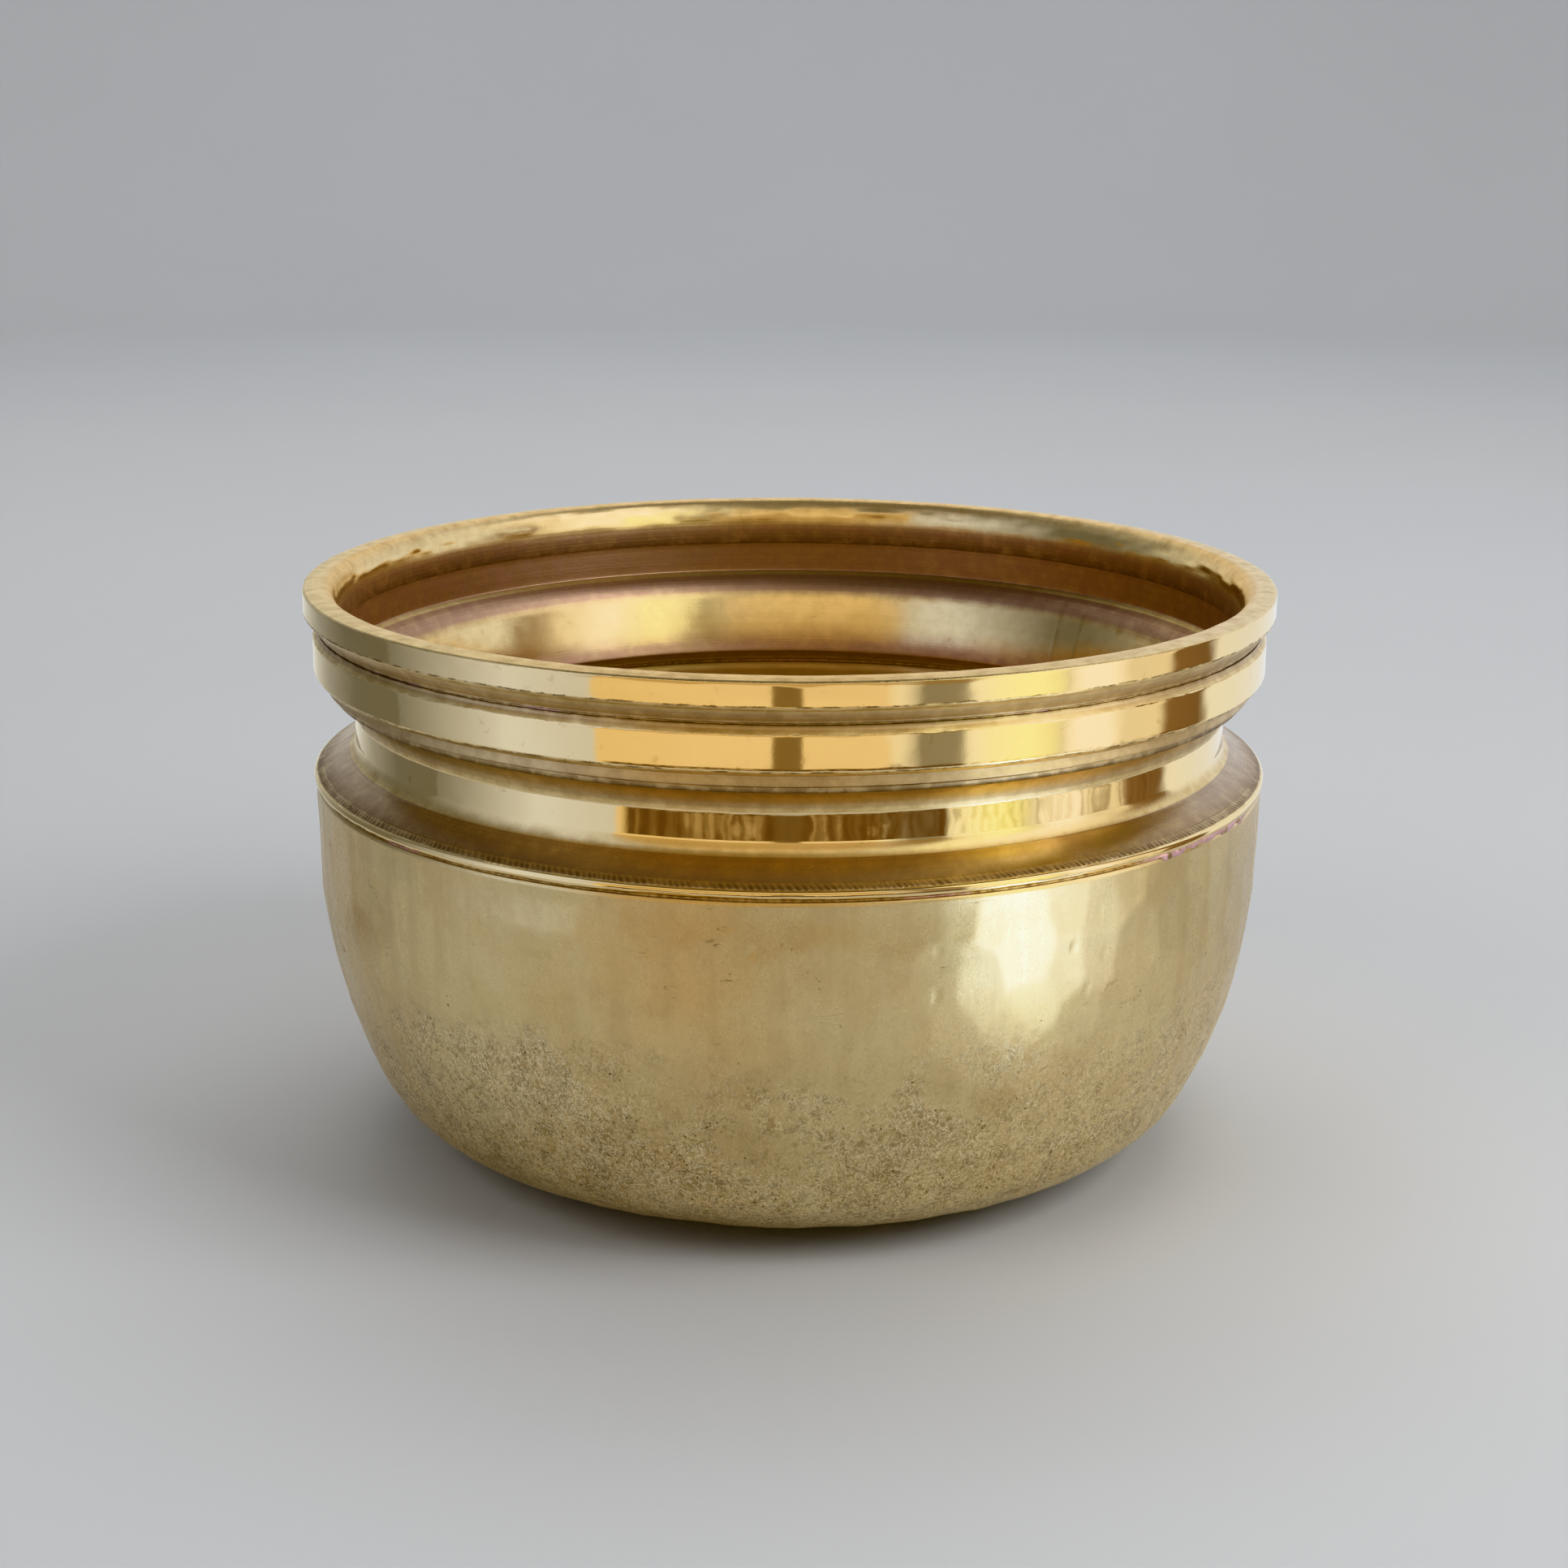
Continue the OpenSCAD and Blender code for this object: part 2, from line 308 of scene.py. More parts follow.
# ---------------------------------------------------------------- materials
def satin_brass():
    """Hammered wall: satin brass, etched and pitted low down, brown inside."""
    n = Nodes("hammered_satin_brass")
    inside = n.value("inside")
    cloud = n.noise(22, 3, 0.55)
    stain = n.noise(75, 4, 0.6)
    cluster = n.noise(52, 4, 0.6, distort=0.6)
    drag = n.noise(150, 4, 0.6, vector=n.stretch((1, 1, 0.10)))
    blotch = n.noise(260, 4, 0.65, distort=0.6)
    mottle = n.noise(760, 4, 0.68, distort=0.8)
    etch = n.noise(560, 4, 0.62, vector=n.stretch((1, 1, 0.7)), distort=1.6)
    grain = n.noise(2600, 3, 0.65)
    speck = n.cells(620, vector=n.stretch((1, 1, 0.8)))
    where = n.noise(140, 3, 0.6)
    # how far the etched texture has eaten in: from the attribute, broken up by clusters
    broken = n.math("ADD", n.math("MULTIPLY", n.math("SUBTRACT", cluster, 0.5), 1.7),
                    n.math("MULTIPLY", n.math("SUBTRACT", blotch, 0.5), 0.7))
    broken = n.math("ADD", broken, n.math("MULTIPLY", n.math("SUBTRACT", drag, 0.5), 0.5))
    broken = n.math("MULTIPLY", broken, n.ramp(n.value("low"), 0.0, 0.5))
    low = n.ramp(n.math("ADD", n.value("low"), broken), 0.14, 0.86)
    # base tone: warm gold in places, greener khaki in others, with soft upright streaks
    colour = n.mix(n.ramp(cloud, 0.38, 0.64), (0.72, 0.54, 0.275), (0.75, 0.60, 0.325))
    streak = n.math("MULTIPLY", n.ramp(drag, 0.46, 0.66), 0.30)
    colour = n.mix(streak, colour, (0.56, 0.42, 0.215))
    # brown staining, stronger low down
    amount = n.math("MULTIPLY", n.ramp(stain, 0.48, 0.70), n.mixf(low, 0.25, 0.62))
    colour = n.mix(amount, colour, (0.50, 0.365, 0.18))
    blotches = n.math("MULTIPLY", n.ramp(blotch, 0.50, 0.62), n.mixf(low, 0.07, 0.62))
    colour = n.mix(blotches, colour, (0.44, 0.325, 0.175))
    shade = n.math("MULTIPLY", n.ramp(cluster, 0.48, 0.64), n.mixf(low, 0.0, 0.45))
    colour = n.mix(shade, colour, (0.50, 0.375, 0.215))
    # etched mottling: dark hollows and fine light lines
    dark = n.math("MULTIPLY", n.ramp(mottle, 0.50, 0.63), n.mixf(low, 0.08, 0.62))
    colour = n.mix(dark, colour, (0.36, 0.265, 0.15))
    ridge = n.ramp(n.math("ABSOLUTE", n.math("SUBTRACT", etch, 0.5)), 0.045, 0.006)
    colour = n.mix(n.math("MULTIPLY", ridge, n.mixf(low, 0.05, 0.80)), colour, (1.0, 0.89, 0.60))
    # sparse dark pits, and a few short dark scratches
    pitted = n.ramp(where, n.mixf(low, 0.64, 0.46), n.mixf(low, 0.72, 0.58))
    pit = n.math("MULTIPLY", n.ramp(speck, 0.22, 0.10), pitted)
    hair = n.noise(420, 2, 0.5, vector=n.stretch((0.22, 0.22, 1.0)), distort=0.4)
    scratch = n.math("MULTIPLY", n.ramp(n.math("ABSOLUTE", n.math("SUBTRACT", hair, 0.5)), 0.010, 0.002),
                     n.ramp(n.noise(95, 3, 0.6), 0.60, 0.68, 0.0, 0.6))
    colour = n.mix(n.math("MAXIMUM", n.math("MULTIPLY", pit, 0.8), scratch), colour, (0.15, 0.095, 0.04))
    colour = n.mix(n.math("MULTIPLY", inside, 0.55), colour, (0.46, 0.29, 0.15))
    rough = n.mixf(low, 0.28, 0.42)
    rough = n.math("ADD", rough, n.math("MULTIPLY", n.math("SUBTRACT", mottle, 0.5), n.mixf(low, 0.10, 0.35)))
    rough = n.math("ADD", rough, n.math("MULTIPLY", n.math("SUBTRACT", drag, 0.5), 0.22))
    rough = n.math("ADD", rough, n.math("MULTIPLY", inside, 0.08))
    height = n.math("MULTIPLY", etch, n.mixf(low, 0.10, 0.9))
    height = n.math("SUBTRACT", height, n.math("MULTIPLY", pit, 0.9))
    height = n.math("ADD", height, n.math("MULTIPLY", drag, 0.35))
    height = n.math("ADD", height, n.math("MULTIPLY", grain, n.mixf(low, 0.16, 0.30)))
    return n.finish(colour, rough, n.bump(height, 0.75, 0.00012))


def turned_brass(name, lands):
    """Lathe-turned brass: polished lands, satin grooves with olive-brown tarnish and turning marks."""
    n = Nodes(name)
    height = n.add("ShaderNodeSeparateXYZ")
    n.plug(height.inputs[0], n.pos)
    ragged = n.math("MULTIPLY", n.math("SUBTRACT", n.noise(1900, 3, 0.7), 0.5), 0.0005)
    ragged = n.math("ADD", ragged, n.math("MULTIPLY", n.math("SUBTRACT", n.noise(230, 2), 0.5), 0.0005))
    level = n.math("ADD", height.outputs[2], ragged)
    polish, edge_line = 0.0, 0.0
    for low, high, soft_low, soft_high in lands:
        land = n.math("MULTIPLY", n.ramp(level, low * MM, (low + soft_low) * MM),
                      n.ramp(level, high * MM, (high - soft_high) * MM))
        polish = n.math("MAXIMUM", polish, land)
        if soft_low < 0.5:
            line = n.ramp(n.math("ABSOLUTE", n.math("SUBTRACT", level, low * MM)), 0.0003, 0.00005)
            edge_line = n.math("MAXIMUM", edge_line, line)
    outer = n.value("outer")
    polish = n.math("MAXIMUM", n.math("MULTIPLY", polish, outer), n.value("shine"))
    edge_line = n.math("MULTIPLY", n.math("MULTIPLY", edge_line, outer), n.ramp(n.noise(330, 3), 0.42, 0.58))
    tarnish_and_shade = n.value("tarnish_and_shade")
    dirt = n.value("dirt")
    lines = n.noise(1500, 4, 0.7, vector=n.turned())
    broad_lines = n.noise(420, 3, 0.6, vector=n.turned())
    cloud = n.noise(55, 3, 0.5)
    spots = n.noise(240, 4, 0.62)
    fine = n.noise(1500, 3, 0.6)
    spokes = n.noise(230, 3, 0.65, vector=n.spokes())
    colour = n.mix(cloud, (0.86, 0.66, 0.34), (0.90, 0.71, 0.39))
    dull = n.math("SUBTRACT", 1.0, polish)
    lined = n.math("ADD", spots, n.math("MULTIPLY", broad_lines, 0.5))
    olive = n.math("MULTIPLY", dull, n.ramp(lined, 0.55, 0.95, 0.25, 0.85))
    colour = n.mix(olive, colour, (0.56, 0.41, 0.19))
    # small tarnish spots on the polished lands
    spot = n.math("MULTIPLY", n.ramp(spots, 0.62, 0.74), n.mixf(polish, 0.5, 0.35))
    colour = n.mix(spot, colour, (0.50, 0.33, 0.15))
    # brown from tarnish, and painted shade where the collar's value carries it (towards the roll's foot)
    brown = n.math("MULTIPLY", tarnish_and_shade, n.ramp(n.math("ADD", lines, spots), 0.7, 1.2, 0.75, 1.0))
    colour = n.mix(brown, colour, n.mix(outer, (0.42, 0.262, 0.19), (0.37, 0.26, 0.185)))
    grime = n.math("MULTIPLY", dirt, n.ramp(spots, 0.36, 0.56, 0.35, 1.0))
    # short marks that run in from the outer margin of the shoulder
    margin = n.value("margin")
    spokes = n.math("ADD", spokes, n.math("MULTIPLY", margin, 0.16))
    hatch = n.math("MULTIPLY", margin, n.ramp(spokes, 0.54, 0.66))
    grime = n.math("MAXIMUM", grime, n.math("MULTIPLY", hatch, 0.8))
    grime = n.math("MAXIMUM", grime, n.math("MULTIPLY", edge_line, 0.75))
    colour = n.mix(grime, colour, (0.115, 0.07, 0.035))
    rough = n.mixf(polish, 0.34, 0.055)
    patchy = n.math("SUBTRACT", spots, 0.45)
    rough = n.math("ADD", rough, n.math("MULTIPLY", patchy, n.mixf(polish, 0.25, 0.08)))
    rough = n.math("ADD", rough, n.math("MULTIPLY", tarnish_and_shade, 0.06), clamp=True)
    height = n.math("MULTIPLY", lines, n.mixf(polish, 0.9, 0.03))
    height = n.math("ADD", height, n.math("MULTIPLY", fine, n.mixf(polish, 0.5, 0.035)))
    height = n.math("ADD", height, n.math("MULTIPLY", spots, n.mixf(polish, 0.2, 0.12)))
    height = n.math("SUBTRACT", height, n.math("MULTIPLY", hatch, 1.2))
    return n.finish(colour, rough, n.bump(height, 0.6, 0.00008))


def braze_metal():
    """Braze: mostly the colour of the brass, pink where it has squeezed out on one side."""
    n = Nodes("braze_metal")
    pink = n.value("pink")
    tone = n.noise(700, 3)
    colour = n.mix(n.ramp(tone, 0.4, 0.62), (0.50, 0.36, 0.17), (0.30, 0.19, 0.09))
    colour = n.mix(n.math("MULTIPLY", pink, n.ramp(n.noise(420, 3), 0.34, 0.5)), colour, (0.68, 0.42, 0.44))
    return n.finish(colour, n.mixf(tone, 0.30, 0.5), n.bump(n.noise(1300, 3), 0.5, 0.0001))


# ---------------------------------------------------------------- the cup
def cup_side(inset, step):
    """Outside line of the cup, or its inside line one wall further in, from the top down."""
    def turn(radius, a):
        return np.array([radius * math.cos(math.radians(a)), -radius * math.sin(math.radians(a))])

    top = np.array([R_CUP, CUP_TOP])
    belly_start = top - 21 * np.array([math.tan(math.radians(1.3)), 1])
    belly = belly_start - turn(128, 1.3)
    corner = belly + turn(128, 25.8) - turn(27.6, 25.8)
    base = corner + turn(27.6, 73.5) - turn(140, 73.5)
    rows = [np.linspace(top - [inset, 0], belly_start - [inset, 0], int(21 / step) + 1)[:-1]]
    arcs = ((belly, 128, 1.3, 25.8), (corner, 27.6, 25.8, 73.5), (base, 140, 73.5, 90))
    for centre, radius, a0, a1 in arcs:
        radius -= inset
        count = int(radius * math.radians(a1 - a0) / step) + 2
        rows.append(arc(centre[0], centre[1], radius, a0, a1, count)[:-1])
    foot = base[0]
    count = int(foot / (step * 2.5))
    rows.append(np.stack([np.linspace(foot, 1.5, count), np.full(count, inset)], -1))
    return np.vstack(rows)


def hammer_dents(pts, rng, spacing, curve, depth_spread, tall=1.0):
    """Overlapping hammer blows over a swept profile.

    Returns field(u, r, z) in mm, 0 at the middle of a blow."""
    length = np.r_[0, np.cumsum(np.hypot(*np.diff(pts, axis=0).T))]
    centres, lift = [], []
    s = spacing * 0.3
    while s < length[-1]:
        r = np.interp(s, length, pts[:, 0])
        count = max(3, int(2 * math.pi * r / (spacing * rng.uniform(0.85, 1.15))))
        phase = rng.uniform(0, 1)
        for k in range(count):
            a = 2 * math.pi * (k + phase + rng.uniform(-0.3, 0.3)) / count
            ss = s + rng.uniform(-0.35, 0.35) * spacing * tall
            rr, zz = np.interp(ss, length, pts[:, 0]), np.interp(ss, length, pts[:, 1])
            centres.append((rr * math.cos(a), rr * math.sin(a), zz / tall))
            lift.append(rng.uniform(-1, 1) * depth_spread)
        s += spacing * tall * rng.uniform(0.85, 1.15)
    tree = kdtree.KDTree(len(centres))
    for k, c in enumerate(centres):
        tree.insert(c, k)
    tree.balance()

    def field(U, R, Z):
        th = U * 2 * np.pi
        co = np.stack([R * np.cos(th), R * np.sin(th), Z / tall], -1).reshape(-1, 3)
        found = [tree.find_n(p, 4) for p in co]
        d = np.array([[h[2] for h in row] for row in found])
        k = np.array([[h[1] for h in row] for row in found])
        h = d * d / (2 * curve) + np.array(lift)[k]
        m = h.min(1)
        soft = 0.02
        return (m - soft * np.log(np.exp(-(h - m[:, None]) / soft).sum(1))).reshape(U.shape)

    return field


def make_cup(mat):
    outer = cup_side(0.0, 1.1)[::-1]
    inner = cup_side(WALL, 2.8)
    outer[-1] = [R_CUP, CUP_TOP - 0.4]
    inner[0] = [R_CUP - WALL, CUP_TOP - 0.4]
    brim = np.array([[R_CUP - 0.4, CUP_TOP], [R_CUP - WALL + 0.4, CUP_TOP]])
    pts = np.vstack([outer, brim, inner])
    n_out = len(outer)
    rng = np.random.default_rng(11)
    blows = hammer_dents(outer[::-1], rng, 10.0, 105.0, 0.05, tall=1.35)
    blows_in = hammer_dents(inner, rng, 13.0, 150.0, 0.04)

    def relief(U, R, Z, I):
        h = np.zeros(U.shape)
        h[:n_out] = blows(U[:n_out], R[:n_out], Z[:n_out])
        h[n_out + 2:] = blows_in(U[n_out + 2:], R[n_out + 2:], Z[n_out + 2:])
        sway = 0.20 * ring_noise(U, Z / CUP_SPAN, 7, 2, 3) + 0.12 * ring_noise(U, Z / CUP_SPAN, 21, 4, 4)
        sway = sway * smooth(R / 70)
        nicks = -0.25 * smooth((ring_noise(U, Z / CUP_SPAN, 330, 42, 5) - 0.86) / 0.1)
        fade = smooth((CUP_TOP - Z) / 4.0) * smooth((Z - 0.4) / 3.0)
        h = (h - 0.08 + np.where(I < n_out, sway + nicks, -sway)) * fade
        return np.where((I < n_out) & (Z < 1.0), np.minimum(h, 0), np.clip(h, -0.6, 0.5))

    def masks(U, R, Z, I):
        outside = (I < n_out).astype(float)
        low = ETCH_TOP - Z + 12 * ring_noise(U, Z / CUP_SPAN, 9, 4, 8)
        low = np.clip((low + 6 * ring_noise(U, Z / CUP_SPAN, 31, 12, 9)) / ETCH_DEPTH, 0, 1)
        return {"low": low * outside, "inside": 1 - outside}

    return dress(lathe("body_cup_brass", pts, CUP_SEGS, loop=False, relief=relief, masks=masks,
                       pole_first=True, pole_last=True), mat, "body_cup")


# ---------------------------------------------------------------- the collar
EDGE_TOP = COLLAR_BOTTOM + 1.9
SLOPE = math.radians(30)
NECK_R, NECK_IN, BAND_IN = 108.5, 103.0, 113.4
FILLET = 4.0
SHOULDER_TOP = EDGE_TOP + (118.5 - NECK_R) * math.tan(SLOPE)
NECK_LOW = SHOULDER_TOP + FILLET * math.tan(math.radians(30))
NECK_HIGH = NECK_LOW + 5.9
COVE = 6.3
COVE_END = NECK_HIGH + COVE * math.sin(math.acos(-1.2 / COVE))
BAND_LOW = COVE_END + 4.6
BAND_HIGH = BAND_LOW + 9.3
RIDGE_R, RIDGE_Z = BAND_IN - 0.9, BAND_LOW - 0.2
ROLL_FOOT = COLLAR_BOTTOM + 5.4
KNEE_R, KNEE_Z = RIDGE_R - 4.6, RIDGE_Z - 5.2
LIP_LOW = RIM_BOTTOM + 3.3
SEAM_TURN = (0.1135, 0.1255)


def leaning_arc(r0, z0, r1, z1, lean, n):
    """Points from (r1, z1) down to (r0, z0) on an arc that leans outwards by lean at its foot.

    Also returns the lean at its upper end."""
    chord = math.atan((r1 - r0) / (z1 - z0))
    radius = math.hypot(r1 - r0, z1 - z0) / (2 * math.sin(chord - lean))
    a = np.linspace(2 * chord - lean, lean, n)
    cr, cz = r0 + radius * math.cos(lean), z0 - radius * math.sin(lean)
    return [(cr - radius * math.cos(x), cz + radius * math.sin(x), 0.0, 9.0) for x in a], 2 * chord - lean


def circle_part(cr, cz, radius, a0, a1, n):
    a = np.radians(np.linspace(a0, a1, n))
    return [(cr + radius * math.cos(x), cz + radius * math.sin(x), 0.0, 9.0) for x in a]


def shoulder_height(r):
    return EDGE_TOP + (118.5 - r) * math.tan(SLOPE)


def make_collar(mat):
    cb, ct = COLLAR_BOTTOM, COLLAR_TOP
    roll, knee_lean = leaning_arc(NECK_IN, ROLL_FOOT, KNEE_R, KNEE_Z, ROLL_LEAN, 30)
    brow, _ = leaning_arc(KNEE_R, KNEE_Z, RIDGE_R, RIDGE_Z, knee_lean, 12)
    corners = (
        [(118.4, cb, 0.3), (118.9, cb + 0.4, 0.3, 0.3), (118.9, shoulder_height(118.9), 1.4, 0.3),
         (117.6, shoulder_height(117.6), 0.05, 0.55)]
        + circle_part(NECK_R + FILLET, NECK_LOW, FILLET, 240, 180, 13)
        + [(NECK_R, NECK_LOW + 0.05, 0.0, 0.5)]
        + circle_part(NECK_R + COVE, NECK_HIGH, COVE, 180, 101, 17)
        + [(113.6, COVE_END + 1.3, 0.25, 0.4), (113.25, COVE_END + 1.5, 0.15),
           (115.2, COVE_END + 1.75, 0.35, 0.4), (115.2, BAND_LOW - 0.5, 0.4, 0.6),
           (115.6, BAND_LOW - 0.1, 0.4), (117.0, BAND_LOW, 0.6, 0.4),
           (118.0, BAND_LOW + 1.0, 0.9, 0.6), (118.0, BAND_HIGH - 0.45, 0.4, 0.4),
           (116.9, ct - 0.7, 0.4, 0.3), (116.9, ct, 0.15),
           (BAND_IN, ct, 0.15, 1.0), (BAND_IN, RIDGE_Z + 0.9, 0.3, 0.8), (RIDGE_R, RIDGE_Z + 0.15, 0.22, 0.3)]
        + brow[1:] + roll[1:-1]
        + [(NECK_IN, ROLL_FOOT - 0.1, 0.6, 0.5), (NECK_IN + 0.8, cb + 4.6, 0.6), (115.8, cb, 0.3, 1.2)]
    )
    pts = rounded(corners, 0.6)
    first_inner = int(np.argmax((pts[:, 0] < BAND_IN + 0.1) & (pts[:, 1] > ct - 0.4)))

    def relief(U, R, Z, I):
        outer = (R > 107).astype(float) * (Z > cb + 0.1)
        sway = 0.06 * ring_noise(U, (Z - cb) / COLLAR_SPAN, 11, 3, 21)
        fine = 0.016 * ring_noise(U, (Z - cb) / COLLAR_SPAN, 150, 12, 22)
        fine = fine + 0.022 * ring_noise(U, (Z - cb) / COLLAR_SPAN, 56, 6, 23)
        jag = 0.07 * ring_noise(U, Z * 0, 520, 1, 24) + 0.14 * ring_noise(U, Z * 0, 130, 1, 25)
        jag2 = 0.07 * ring_noise(U, Z * 0, 500, 1, 26) + 0.14 * ring_noise(U, Z * 0, 120, 1, 27)
        jag3 = 0.12 * ring_noise(U, Z * 0, 260, 1, 28) + 0.20 * ring_noise(U, Z * 0, 60, 1, 29)
        edge = bump_at(Z, BAND_LOW + 0.6, 1.0) * jag * (R > 117.2)
        edge = edge + bump_at(Z, BAND_HIGH - 0.3, 1.0) * jag2 * (R > 116.6)
        edge = edge + bump_at(Z, cb + 0.3, 0.9) * jag3 * (R > 118)
        inside = (I >= first_inner) & (Z < RIDGE_Z - 1)
        seam = sum(bump_at(U, at, 0.0016) for at in SEAM_TURN) * inside * (Z > cb + 5)
        wave = 0.05 * ring_noise(U, (Z - cb) / COLLAR_SPAN, 38, 4, 30) * inside
        return sway + fine + wave - 0.035 * seam, edge * outer

    def masks(U, R, Z, I):
        inner = I >= first_inner
        outer = 1.0 - inner
        band_back = (R > RIDGE_R + 0.3) * (Z > RIDGE_Z + 0.5) * inner
        top_of_roll = smooth((Z - (KNEE_Z - 0.6)) / 2.2) * inner * (Z < RIDGE_Z)
        under = smooth((cb + 6.4 - Z) / 2.2) * inner
        streak = 0.5 + 0.5 * ring_noise(U, (Z - cb) / COLLAR_SPAN, 26, 7, 51)
        # painted shade: the roll is made darker towards its foot, through the same value as the tarnish; it
        # stands in for the dark inner wall that part of the roll mirrors
        foot_shade = smooth((ROLL_FOOT + 8.5 - Z) / 8.5) * (Z < KNEE_Z) * inner
        tarnish_and_shade = np.clip(0.95 * band_back + 0.95 * top_of_roll + 0.9 * under + foot_shade, 0, 1)
        tarnish_and_shade = tarnish_and_shade + 0.18 * streak * inner
        shoulder = (R > NECK_R + 1.6) & (Z < SHOULDER_TOP) & (R < 118.2) & (Z > cb + 0.6)
        tarnish_and_shade = np.where(shoulder, 0.78 + 0.22 * streak, tarnish_and_shade)
        steps = (R > 112.6) & (R < 115.4) & (Z > COVE_END - 0.5) & (Z < BAND_LOW)
        tarnish_and_shade = np.where(steps & (outer > 0), 0.30 + 0.3 * streak, tarnish_and_shade)
        cove = (R > NECK_R + 0.2) & (R <= 113.7) & (Z > NECK_HIGH + 1.5) & (Z <= COVE_END + 0.1) & (outer > 0)
        tarnish_and_shade = np.where(cove, 0.15 + 0.25 * streak, tarnish_and_shade)
        throat = (R < 117.3) & (Z > BAND_HIGH) & (outer > 0)
        tarnish_and_shade = np.where(throat, 0.5, tarnish_and_shade)
        dirt = bump_at(Z, COVE_END + 1.5, 0.55) * (R < 115.0) * outer
        dirt = dirt + 0.8 * bump_at(Z, COVE_END + 0.1, 0.4) * (R > 113.3) * outer
        dirt = dirt + 0.7 * bump_at(Z, ct, 0.5) * outer + 0.35 * shoulder * smooth((R - 114.2) / 3.4)
        seams = sum(bump_at(U, at, 0.0018) for at in SEAM_TURN)
        dirt = dirt + 0.22 * seams * inner * (Z > cb + 5) * (Z < RIDGE_Z - 1)
        worn = bump_at(Z, RIDGE_Z + 0.1, 0.6) * (R < RIDGE_R + 0.5) * inner
        # the polish on the roll fades out towards its foot, part of the same painted shade
        clean = 0.6 * smooth((KNEE_Z + 0.4 - Z) / 2.0) * smooth((Z - ROLL_FOOT - 0.3) / 4.0) * inner
        clean = clean + 0.45 * shoulder * smooth((116.0 - R) / 3.5)
        # painted highlight: in one stretch round the shoulder the tarnish is taken off, the dirt thinned and
        # the metal polished, so that it shows a bright glint
        painted_glint = shoulder * bump_at(U, 0.835, 0.055) * (0.62 + 0.38 * ring_noise(U, R / 6, 90, 2, 52))
        tarnish_and_shade = tarnish_and_shade * (1 - painted_glint)
        dirt = dirt * (1 - 0.6 * painted_glint)
        clean = np.clip(clean + 0.9 * painted_glint, 0, 1)
        margin = shoulder * smooth((R - 115.2) / 2.6)
        return {"outer": outer, "tarnish_and_shade": np.clip(tarnish_and_shade, 0, 1) * (1 - worn), "dirt": np.clip(dirt, 0, 1),
                "shine": clean, "margin": margin}

    collar = lathe("neck_collar_brass", pts, TURNED_SEGS, relief=relief, masks=masks)
    dress(collar, mat, "neck_collar")


def make_chatter(mat):
    """Rope-like row of oblique tool marks along the outer margin of the shoulder."""
    r0, r1 = 116.3, 118.2
    top = [(r, shoulder_height(r) + 0.03) for r in np.linspace(r1, r0, 7)]
    low = [(r0, shoulder_height(r0) - 0.35), (r1, shoulder_height(r1) - 0.35)]
    pts = np.array(top + low)

    def strokes(U, R):
        across = (r1 - R) / (r1 - r0)
        drift = 0.8 * ring_noise(U, R * 0, 90, 1, 62)
        phase = (U * TOOL_MARKS + 0.75 * across + drift) % 1.0
        return across, np.exp(-((phase - 0.5) / 0.20) ** 2)

    def relief(U, R, Z, I):
        across, tick = strokes(U, R)
        reach = 0.60 + 0.40 * ring_noise(U, R * 0, 240, 1, 61)
        fade = smooth(across / 0.12) * smooth((reach - across) / 0.4)
        strength = 0.55 + 0.45 * ring_noise(U, R * 0, 60, 1, 63)
        height = (0.13 * tick - 0.045) * fade * strength
        return np.where(I < 7, height - 0.06 * (across > 0.98) - 0.06 * (across < 0.02), 0.0)

    def masks(U, R, Z, I):
        across, tick = strokes(U, R)
        return {"outer": 1.0 + 0 * U, "tarnish_and_shade": 0.78 - 0.35 * tick,
                "dirt": 0.7 * (1 - tick) * smooth((1 - across) / 0.6), "shine": 0 * U, "margin": 0.4 + 0 * U}

    obj = lathe("shoulder_chatter_marks", pts, SEGS_PER_MARK * TOOL_MARKS, relief=relief, masks=masks)
    return dress(obj, mat, None)


